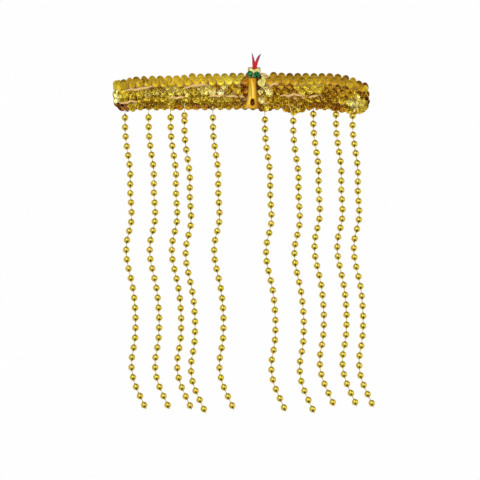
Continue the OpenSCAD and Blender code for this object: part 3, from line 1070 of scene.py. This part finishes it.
class HEADDRESS_OT_sequins(bpy.types.Operator):
    """Four rows of overlapping cupped sequins with their sewing thread"""

    bl_idname = "headdress.sequins"
    bl_label = "Sequin Rows"

    def execute(self, context):
        band = context.scene.headdress_band
        loop = Loop(band.end_radius)
        lines = row_lines(loop, band)
        smooth_film = metallised_sequin_film(
            "smooth_sequin_film", band.film_color, crinkle=0.15 * MM, fleck=0.05, roughness=0.46
        )
        # deeply crinkled film with strong painted glints, for the lower rows
        worn_film = metallised_sequin_film(
            "worn_sequin_film", band.film_color, crinkle=0.8 * MM, fleck=0.2, roughness=0.28
        )
        thread = twisted_thread("sewing_thread", linear("F0C868"), twist=0.5 * MM)
        rng = np.random.default_rng(SEED)
        for row, line in enumerate(lines):
            cup_depth = ROWS[row][1] * MM
            cup = self.cup(band, cup_depth)
            centre, axes, tone = self.lie(loop, line, row, band, rng)
            sewn = self.sewing(centre, axes, cup_depth)
            tones = np.concatenate([np.repeat(tone, len(cup[0])), np.zeros(len(sewn[0]))])
            film = smooth_film if row == 0 else worn_film
            make_piece(
                f"sequins_{row + 1}",
                [(stamped(cup, centre, axes), film, False), (sewn, thread, True)],
                [f"sequin_row_{row + 1}"],
                tone=tones,
            )
        return {"FINISHED"}

    def cup(self, band, depth):
        """A cupped sequin: a flat ring round the hole, a cone of facets and a rim, closed by a thin back."""
        sides, film = 12, 0.12 * MM
        hole, flat, rim = 0.5 * MM, 1.3 * MM, band.sequin_size / 2
        profile = [
            (hole, -depth),
            (flat, -depth),
            (rim, 0),
            (rim, -film),
            (flat, -depth - film),
            (hole, -depth - film),
        ]
        return turned(profile, sides)

    def lie(self, loop, line, row, band, rng):
        """Centre, axes and tone of each sequin of a row. High and low ones alternate, the low ones on top.
        Each leans on the next round the loop. Chance, slow waves round the loop and the patches in LIES turn
        them further."""
        back_wave, aside_wave, tone_wave, tone_chance = 4, 5, 0.14, 0.08
        back_knots, aside_knots, tone_knots = 20, 24, 18
        least_tone, most_tone = 0.26, 0.8
        overlap, height_chance, off_chance = 0.3 * MM, 0.15 * MM, 0.1 * MM
        stand, _, lean, high_back, low_back, unruly, tone_with_painted_light, low_painted_light, _ = ROWS[row]
        count = 2 * round(loop.length / band.pair_pitch)
        run = np.arange(count) * loop.length / count
        side = np.where(np.arange(count) % 2 == 0, 1.0, -1.0)
        back = np.where(side > 0, high_back, low_back) + rng.normal(0, unruly, count)
        back = back + back_wave * smooth_noise(rng, count, back_knots)
        aside = lean + rng.normal(0, unruly, count) + aside_wave * smooth_noise(rng, count, aside_knots)
        # painted light: the low and high sequins of a row get different tones, on top of the row's painted
        # tone
        tone = tone_with_painted_light - low_painted_light * side + tone_wave * smooth_noise(rng, count, tone_knots)
        tone = np.clip(tone + rng.normal(0, tone_chance, count), least_tone, most_tone)
        chance = rng.normal(0, 1, (3, count))
        across, depth = loop.place(run, stand * MM)
        front = depth < 6 * MM
        back, aside, tone = self.patched(row, across, front, side, chance, (back, aside, tone))
        middle, stagger = [round_loop(values, run / loop.length) for values in line]
        reach = band.sequin_size / 2 + stagger
        height = self.clear_of_knit(row, across, front, middle, reach)
        height = height + stagger * side + rng.normal(0, height_chance, count)
        off = stand * MM - overlap * side + rng.normal(0, off_chance, count)
        axes = self.turned_axes(loop, run, np.radians(aside), np.radians(back), rng)
        return loop.points(run, off, height), axes, np.clip(tone, 0, 1)

    def patched(self, row, across, front, side, chance, lying):
        """How sequins tip back, turn aside and what tone they have, after the patches in LIES. Each patch
        starts and ends softly, and hardly any of a sequin's own tone is left in it."""
        soft, spread, tone_share, tone_chance = 2, 0.7, 0.85, 0.008
        high_painted_light = ROWS[row][-1]
        back, aside, tone = lying
        for which, start, end, lie_back, lie_aside, lie_chance, lie_tone_with_painted_light in LIES:
            if which == row:
                inside = np.minimum(across / MM - start, end - across / MM) / soft + spread
                inside = np.clip(inside, 0, 1) * front
                back = back + inside * (lie_back + lie_chance * chance[0])
                aside = aside + inside * (lie_aside + lie_chance * chance[1])
                # painted light: each patch's tone paints in the highlight and shade its sequins catch, with
                # some of the film's own colour
                change = tone_share * (lie_tone_with_painted_light + high_painted_light * side - tone)
                tone = tone + inside * (change + tone_chance * lie_chance * chance[2])
        return back, aside, tone

    def clear_of_knit(self, row, across, front, height, reach):
        """The row's middle height, lowered under a knit line above it and raised over one below it, by a
        limited amount. The bottom row also hangs down at HEM_POINTS, each a bell curve."""
        gap, most_lowered, most_raised = 0.4 * MM, 1.4 * MM, 0.8 * MM
        shown, knit_height = knit_at(row, across)
        height = height + shown * front * np.clip(knit_height - gap - reach - height, -most_lowered, 0)
        shown, knit_height = knit_at(row + 1, across)
        height = height + shown * front * np.clip(knit_height + gap + reach - height, 0, most_raised)
        if row == len(ROWS) - 1:
            for point, further, half in HEM_POINTS:
                height = height - front * further * MM * bell(across / MM, point, half)
        return height

    def turned_axes(self, loop, run, lean, back, rng):
        """A sequin's own three axes: two in its plane at a random turn, and its normal, which leans along the
        loop and tips back."""
        along, up, outward = loop.axes(run)
        lean, back = lean[:, None], back[:, None]
        face = np.cos(lean) * outward - np.sin(lean) * along
        width = np.cos(lean) * along + np.sin(lean) * outward
        normal = np.cos(back) * face + np.sin(back) * up
        rise = np.cos(back) * up - np.sin(back) * face
        most_spin = math.pi / 8
        spin = rng.uniform(0, most_spin, len(run))[:, None]
        first = np.cos(spin) * width + np.sin(spin) * rise
        second = np.cos(spin) * rise - np.sin(spin) * width
        return np.stack([first, second, normal], axis=1)

    def sewing(self, centre, axes, cup_depth):
        """The thread that runs from hole to hole: up through one, over its face and down beside the next."""
        radius, sides = 0.12 * MM, 5
        above_cup, under, out, crossing = 0.1 * MM, 0.6 * MM, 0.2 * MM, 0.9 * MM
        normal = axes[:, 2]
        hole = centre - normal * (cup_depth - above_cup)
        over = (hole + np.roll(hole, -1, axis=0)) / 2 + normal * crossing
        path = np.stack([hole - normal * under, hole + normal * out, over], axis=1).reshape(-1, 3)
        return tube(path, radius, sides, (0, 0, 1), closed=True)


class HEADDRESS_OT_strands(bpy.types.Operator):
    """Ten hanging strands of metallised beads moulded on a thread"""

    bl_idname = "headdress.strands"
    bl_label = "Bead Strands"

    def execute(self, context):
        settings = context.scene.headdress_strands
        loop = Loop(context.scene.headdress_band.end_radius)
        skin = vacuum_metallised_bead(settings.bead_color)
        thread = twisted_thread("bead_thread", settings.thread_color, twist=0.4 * MM)
        bead = self.bead(settings)
        in_band = -0.7 * MM
        for index, (node, across, first_height) in enumerate(STRANDS):
            place = np.array([across * MM, loop.front_depth(across * MM, in_band), first_height * MM])
            hung = self.hung(settings, index, place)
            beads, above = hung, [np.array([*place[:2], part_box(node)[1].z])]
            if node in SPARE_BEADS:
                inward, rise = SPARE_BEADS[node]
                above.append(place + np.array([0, inward, rise]) * MM)
                beads = np.concatenate([above[-1:], hung])
            tangent, side, other = frames_along(beads, (1, 0, 0))
            threads = [tube(np.concatenate([above, hung]), settings.thread_size / 2, 8)]
            if node in FRONT_TIES:
                threads.append(self.tie(loop, beads[0], FRONT_TIES[node] * MM))
            make_piece(
                node.replace("bead_strand", "beads"),
                [
                    (stamped(bead, beads, np.stack([side, other, tangent], axis=1)), skin, True),
                    (joined(threads), thread, True),
                ],
                [node],
            )
        return {"FINISHED"}

    def bead(self, settings):
        """A bead with a short nub at each end: a circle's arc between two cones, bored for the thread. The
        circle is drawn a little large, so that its chords keep the bead's width."""
        sides, arc_points, enlarged, tight = 12, 6, 1.015, 0.4
        nub, longest_nub = 0.7 * MM, 0.6 * MM
        radius = enlarged * settings.bead_size / 2
        nub_end = radius + min(longest_nub, (settings.bead_pitch - settings.bead_size) / 4)
        first = math.asin(nub / radius)
        angle = np.linspace(first, math.pi - first, arc_points)
        arc = np.stack([radius * np.sin(angle), radius * np.cos(angle)], axis=-1)
        bore = tight * settings.thread_size
        return turned(np.concatenate([[(bore, nub_end)], arc, [(bore, -nub_end)]]), sides)

    def hung(self, settings, index, place):
        """Bead centres, evenly spaced along a line that hangs from a place. The line is moved sideways by
        STRAND_WAVE, and in depth by a sine, each strand's a turn further on than the one before. The sine
        grows to its full depth below the band, and fades to a share of it in the lower half."""
        depth, wave_length, turn = 4.6, 60, 47
        grown, end, fade, share_left = 12, 150, 40, 0.3
        lowest, steps = 330, 1321
        drop = np.linspace(0, lowest, steps)
        strength = np.minimum(1, np.minimum(drop / grown, np.maximum(share_left, (end - drop) / fade)))
        sway = depth * strength * np.sin(np.radians(drop * 360 / wave_length + turn * index))
        line = place + np.stack([eased(STRAND_WAVE, drop), sway, -drop], axis=-1) * MM
        along = np.concatenate([[0], np.cumsum(np.linalg.norm(np.diff(line, axis=0), axis=1))])
        at = np.arange(settings.bead_count) * settings.bead_pitch
        return np.stack([np.interp(at, along, line[:, k]) for k in range(3)], axis=-1)

    def tie(self, loop, bead, top):
        """Thread from a bead up over the bottom row's face, into the band at a height."""
        radius, sides, in_front = 0.35 * MM, 6, 4.2 * MM
        x, _, z = bead
        rise = top - z
        front = loop.front_depth(x, in_front)
        path = np.array([
            bead,
            (x, front + 1.2 * MM, z + 0.35 * rise),
            (x + 0.4 * MM, front, z + 0.6 * rise),
            (x - 0.2 * MM, front + 0.4 * MM, top - 1 * MM),
            (x, front + 2.4 * MM, top),
        ])
        return tube(path, radius, sides)


class HEADDRESS_OT_snake_tube(bpy.types.Operator):
    """Gold cloth tube of the snake, flared and open below"""

    bl_idname = "headdress.snake_tube"
    bl_label = "Snake Tube"

    def execute(self, context):
        snake = context.scene.headdress_snake
        # painted highlight and painted shade: the lightest and darkest colours of the tube's painted tone
        worn, painted_shade = opaque("F8DC68"), opaque("7A4410")
        cloth = foil_lame_cloth("foil_lame", snake.tube_color, worn, painted_shade, roughness=0.3)
        shape, uv, tone = self.sleeve()
        piece = make_piece("snake_tube", [(shape, cloth, True)], ["snake_body"], tone, uv)
        # painted shade: the cloth's inner face takes the dark lining
        piece.data.materials.append(lame_reverse())
        wall = piece.modifiers.new("cloth", "SOLIDIFY")
        wall.thickness = snake.cloth_thickness
        wall.offset = -1
        wall.material_offset = 1
        return {"FINISHED"}

    def sleeve(self):
        """Squarish rings whose half width and half depth follow the height, with folds, one ridge down the
        front and a small oval opening. All lengths are in millimetres. Columns: height, half width, half
        depth."""
        form = np.array([
            (-13.2, 6.3, 3.2),
            (-10.4, 5.8, 3.2),
            (-7.2, 4.7, 3.0),
            (-3, 3.9, 2.7),
            (2, 3.5, 2.5),
            (7, 3.3, 2.3),
            (11.2, 3.3, 2.1),
        ])
        levels, sides, soften, side_step, ridge_rise = 81, 96, 1.2, 0.27, 0.6
        low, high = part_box("snake_body")
        middle, back = (low.x + high.x) / 2 / MM, high.y / MM
        height = np.linspace(form[0, 0], form[-1, 0], levels)
        half_w = eased(form[:, [0, 1]], height, soften)[:, None]
        half_d = eased(form[:, [0, 2]], height, soften)[:, None]
        height = height[:, None]
        angle = np.arange(sides) * 2 * math.pi / sides
        soft_cos, soft_sin = squarish(angle)
        swell = 1 + self.folds(angle, height - low.z / MM, high.z / MM - height) / half_w
        ridge = self.ridge(soft_cos, soft_sin, height)
        x = middle + half_w * soft_cos * swell
        y = back - half_d + half_d * soft_sin * swell - ridge_rise * ridge
        points = np.stack([x, y, height + 0 * x], axis=-1).reshape(-1, 3)
        faces = grid_faces(levels, sides, False, True)[:, ::-1]
        round_tube = np.arange(sides + 1) * side_step * MM
        uv = grid_uvs(levels, sides, False, True, height[:, 0] * MM, round_tube).reshape(-1, 4, 2)[:, ::-1]
        keep = self.cut_opening(points, faces, middle, back - np.repeat(half_d, sides))
        return (points * MM, [faces[keep]]), uv[keep].reshape(-1, 2), self.tone(soft_cos, height, ridge)

    def folds(self, angle, from_hem, from_top):
        """How far the cloth stands out in gathers below the head and in folds at the flared hem. Both are
        cosines round the tube that die away along it."""
        gather_depth, gather_count, gather_length = 0.12, 11, 4
        fold_depth, fold_count, fold_turn, fold_length = 0.35, 5, 0.7, 2.5
        gathers = gather_depth * np.cos(gather_count * angle) * np.exp(-from_top / gather_length)
        folds = fold_depth * np.cos(fold_count * angle + fold_turn) * np.exp(-from_hem / fold_length)
        return gathers + folds

    def ridge(self, soft_cos, soft_sin, height):
        """1 on the ridge that leans down the front: a bell curve across, and flat for most of its length."""
        place, lean, half, middle, length = 0.08, 0.012, 0.26, 0.5, 8
        across = bell(soft_cos, place - lean * height, half) * np.clip(-soft_sin, 0, 1)
        return across * np.exp(-(((height - middle) / length) ** 4))

    def tone(self, soft_cos, height, ridge):
        """The cloth's tone, painted light: a painted highlight on the ridge and low on the left, painted
        shade on the right and at the top.
        """
        left = 0.2 * bell(soft_cos, -0.75, 0.35) * np.clip((8 - height) / 8, 0, 1)
        right = 0.26 * bell(soft_cos, 0.85, 0.4) * (1 + np.clip(-height / 10 - 0.4, 0, 1))
        top = 0.08 * np.clip((height - 3) / 4, 0, 1)
        return (0.5 + left - right - top + 0.42 * ridge).reshape(-1)

    def cut_opening(self, points, faces, middle, front_of):
        """Which faces stay round the oval opening low in front. Points just inside it move to its edge.
        Centre and half size: across and up, in millimetres."""
        centre, half = np.array([middle + 0.3, -8.2]), np.array([2, 3])
        from_centre = points[:, [0, 2]] - centre
        reach = np.linalg.norm(from_centre / half, axis=1)
        inside = (points[:, 1] < front_of) & (reach < 1)
        keep = inside[faces].sum(axis=1) < 3
        edge = np.zeros(len(points), bool)
        edge[faces[keep].ravel()] = True
        edge &= inside
        moved = centre + from_centre[edge] / reach[edge, None]
        points[edge, 0], points[edge, 2] = moved.T
        return keep


class HEADDRESS_OT_snake_head(bpy.types.Operator):
    """Padded pale head of the snake with its slit of a mouth"""

    bl_idname = "headdress.snake_head"
    bl_label = "Snake Head"

    def execute(self, context):
        snake = context.scene.headdress_snake
        # painted highlight and painted shade: the lightest and darkest colours of the head's painted tone
        worn, painted_shade = opaque("F2EAB0"), opaque("8A7A3C")
        cloth = foil_lame_cloth("pale_foil_lame", snake.head_color, worn, painted_shade, roughness=0.4)
        shape, uv, tone = self.pad()
        piece = make_piece("snake_head_pad", [(shape, cloth, True)], ["snake_head"], tone, uv)
        return {"FINISHED"}

    def pad(self):
        """Squarish rings from the neck up over the cheeks, then in over the lips and down into the mouth. The
        front lip dips in the middle, and painted shade deepens the cloth's tone at the corners and the neck.
        All
        lengths are in millimetres. Columns: height, half width, half depth, middle across."""
        form = np.array([
            (11.4, 0.3, 0.2, 9.4),
            (11.4, 2.4, 1.3, 9.4),
            (11.7, 3.6, 1.9, 9.6),
            (12.4, 4.5, 2.3, 9.9),
            (14.2, 5.1, 2.7, 10.4),
            (17.0, 5.2, 2.7, 10.6),
            (18.9, 5.1, 2.4, 10.6),
            (19.7, 4.8, 2.0, 10.6),
            (19.95, 4.3, 1.5, 10.6),
            (19.8, 3.6, 1.1, 10.6),
            (19.0, 3.0, 0.9, 10.7),
            (16.0, 2.2, 0.85, 10.8),
            (15.4, 0.4, 0.2, 10.8),
        ])
        rows, sides, row_step, side_step = 61, 48, 0.35, 0.5
        lip_middle, lip_half, lip_depth, lip_dip, lip_foot = 10.8, 2.3, 1.2, 1.6, 17
        corner_foot, neck_top = 15, 13
        steps = np.linspace(0, len(form) - 1, rows)
        soften = np.array([0.1, 0.2, 0.4, 0.2, 0.1])
        columns = [np.interp(steps, np.arange(len(form)), column) for column in form.T]
        columns = [np.convolve(np.pad(column, 2, mode="edge"), soften, mode="valid") for column in columns]
        height, half_w, half_d, shift = [column[:, None] for column in columns]
        soft_cos, soft_sin = squarish(np.arange(sides) * 2 * math.pi / sides)
        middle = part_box("snake_head")[1].y / MM - form[:, 2].max()
        x = shift + half_w * soft_cos
        y = middle + half_d * soft_sin
        lip = bell(x, lip_middle, lip_half) * np.clip((middle - y) / lip_depth, 0, 1)
        z = height - lip_dip * lip * np.clip((height - lip_foot) / 2, 0, 1)
        points = np.stack([x, y, z], axis=-1).reshape(-1, 3) * MM
        # painted shade: the tone is lowered at the head's sides above the cheeks and at the neck
        corner = np.abs(soft_cos) ** 4 * np.clip((height - corner_foot) / 4, 0, 1)
        neck = np.clip((neck_top - height) / 2, 0, 1)
        tone = (0.55 - 0.4 * corner - 0.3 * neck).reshape(-1)
        faces = grid_faces(rows, sides, False, True)[:, ::-1]
        along_rows, along_sides = np.arange(rows + 1) * row_step * MM, np.arange(sides + 1) * side_step * MM
        uv = grid_uvs(rows, sides, False, True, along_rows, along_sides)
        uv = uv.reshape(-1, 4, 2)[:, ::-1].reshape(-1, 2)
        return (points, [faces, *end_caps(rows, sides)]), uv, tone


class HEADDRESS_OT_stones(bpy.types.Operator):
    """The two green stones that make the snake's eyes"""

    bl_idname = "headdress.stones"
    bl_label = "Stones"

    def execute(self, context):
        snake = context.scene.headdress_snake
        acrylic = cut_acrylic(snake.stone_color)
        for node in ("snake_eye_left", "snake_eye_right"):
            low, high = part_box(node)
            radius = (high.x - low.x) / 2
            middle = np.array([(low.x + high.x) / 2, high.y, (low.z + high.z) / 2])
            shape = self.brilliant(radius)
            axes = np.array([[(1, 0, 0), (0, 0, 1), (0, -1, 0)]], float)
            make_piece(
                node.replace("snake_eye", "stone"),
                [(stamped(shape, middle[None], axes), acrylic, False)],
                [node],
            )
        return {"FINISHED"}

    def brilliant(self, radius):
        """A round stone: a girdle, eight main facets that meet eight smaller ones, and a flat table.
        Columns of the rings, at a main facet and between two: share of the radius, then height in
        millimetres."""
        sides = 16
        rings = [
            (0.9, 0.9, 0, 0),
            (1, 1, 0.15, 0.15),
            (1, 1, 0.5, 0.5),
            (0.76, 0.86, 1.15, 0.85),
            (0.38, 0.34, 1.6, 1.6),
        ]
        turn = np.arange(sides) * 2 * math.pi / sides
        main = np.arange(sides) % 2 == 0
        points = []
        for main_share, share, main_height, height in rings:
            spread = radius * np.where(main, main_share, share)
            height = np.where(main, main_height, height) * MM
            points.append(np.stack([spread * np.cos(turn), spread * np.sin(turn), height], axis=-1))
        faces = grid_faces(len(rings), sides, False, True)[:, ::-1]
        return np.concatenate(points), [faces, *end_caps(len(rings), sides)]


class HEADDRESS_OT_tongue(bpy.types.Operator):
    """Forked red felt tongue"""

    bl_idname = "headdress.tongue"
    bl_label = "Tongue"

    def execute(self, context):
        snake = context.scene.headdress_snake
        low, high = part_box("snake_tongue")
        in_mouth = 4 * MM
        felt = pressed_felt(snake.tongue_color, high.z, low.z + in_mouth)
        shape = self.fork(snake.tongue_thickness / 2 / MM)
        make_piece("tongue", [(shape, felt, True)], ["snake_tongue"])
        return {"FINISHED"}

    def fork(self, half_thick):
        """Two prongs cut from one piece, which run into each other below the fork. Each is a stack of rounded
        rings between two edge lines, and it bends forward as the square of the height above its root. All
        lengths are in millimetres. Columns of an edge: height, across."""
        rows, sides, roundness, edge_share = 36, 16, 0.6, 0.3
        bend, bend_foot, bend_length = 1.4, 22, 9
        low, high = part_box("snake_tongue")
        middle = (low.y + high.y) / 2 / MM
        prongs = [
            (
                [(15.6, 9.2), (21, 9.1), (26, 8.9), (31.3, 8.6)],
                [(15.6, 11.6), (22.6, 11.6), (24.1, 11.3), (26.2, 10.7), (28.8, 9.9), (31.3, 8.9)],
            ),
            (
                [(15.6, 10.2), (22.6, 10.9), (24.1, 11.3), (26.6, 12.3), (28.8, 13.6), (30.7, 15.8)],
                [(15.6, 12.6), (19.6, 12.7), (22.6, 13.3), (26.6, 14.6), (30.7, 16.1)],
            ),
        ]
        soft_cos, soft_sin = squarish(np.arange(sides) * 2 * math.pi / sides, roundness)
        shapes = []
        for left, right in prongs:
            height = np.linspace(left[0][0], left[-1][0], rows)
            from_x, to_x = [np.interp(height, *np.array(edge, float).T)[:, None] for edge in (left, right)]
            half_w = (to_x - from_x) / 2
            half_d = np.minimum(half_thick, edge_share * half_thick + half_w)
            forward = bend * (np.clip(height - bend_foot, 0, None)[:, None] / bend_length) ** 2
            x = from_x + half_w + half_w * soft_cos
            y = middle - forward + half_d * soft_sin
            points = np.stack([x, y, height[:, None] + 0 * x], axis=-1).reshape(-1, 3) * MM
            faces = [grid_faces(rows, sides, False, True)[:, ::-1], *end_caps(rows, sides)]
            shapes.append((points, faces))
        return joined(shapes)


class HEADDRESS_PT_panel(bpy.types.Panel):
    """Buttons for each piece"""

    bl_label = "Headdress"
    bl_space_type = "VIEW_3D"
    bl_region_type = "UI"
    bl_category = "Headdress"

    def draw(self, context):
        for operator in OPERATORS:
            self.layout.operator(operator.bl_idname)
        for name in SETTINGS:
            box = self.layout.box()
            settings = getattr(context.scene, name)
            for prop in settings.bl_rna.properties:
                if prop.identifier not in {"rna_type", "name"}:
                    box.prop(settings, prop.identifier)


OPERATORS = [
    HEADDRESS_OT_stage,
    HEADDRESS_OT_knit,
    HEADDRESS_OT_sequins,
    HEADDRESS_OT_strands,
    HEADDRESS_OT_snake_tube,
    HEADDRESS_OT_snake_head,
    HEADDRESS_OT_stones,
    HEADDRESS_OT_tongue,
]
SETTINGS = {
    "headdress_band": BandSettings,
    "headdress_strands": StrandSettings,
    "headdress_snake": SnakeSettings,
    "headdress_stage": StageSettings,
}


def register():
    for cls in [*SETTINGS.values(), *OPERATORS, HEADDRESS_PT_panel]:
        bpy.utils.register_class(cls)
    for name, cls in SETTINGS.items():
        setattr(bpy.types.Scene, name, PointerProperty(type=cls))


def unregister():
    for name in SETTINGS:
        delattr(bpy.types.Scene, name)
    for cls in [HEADDRESS_PT_panel, *reversed(OPERATORS), *reversed(SETTINGS.values())]:
        bpy.utils.unregister_class(cls)


def main():
    register()
    for operator in OPERATORS:
        group, name = operator.bl_idname.split(".")
        getattr(getattr(bpy.ops, group), name)()
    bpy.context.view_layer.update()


if __name__ == "__main__":
    main()
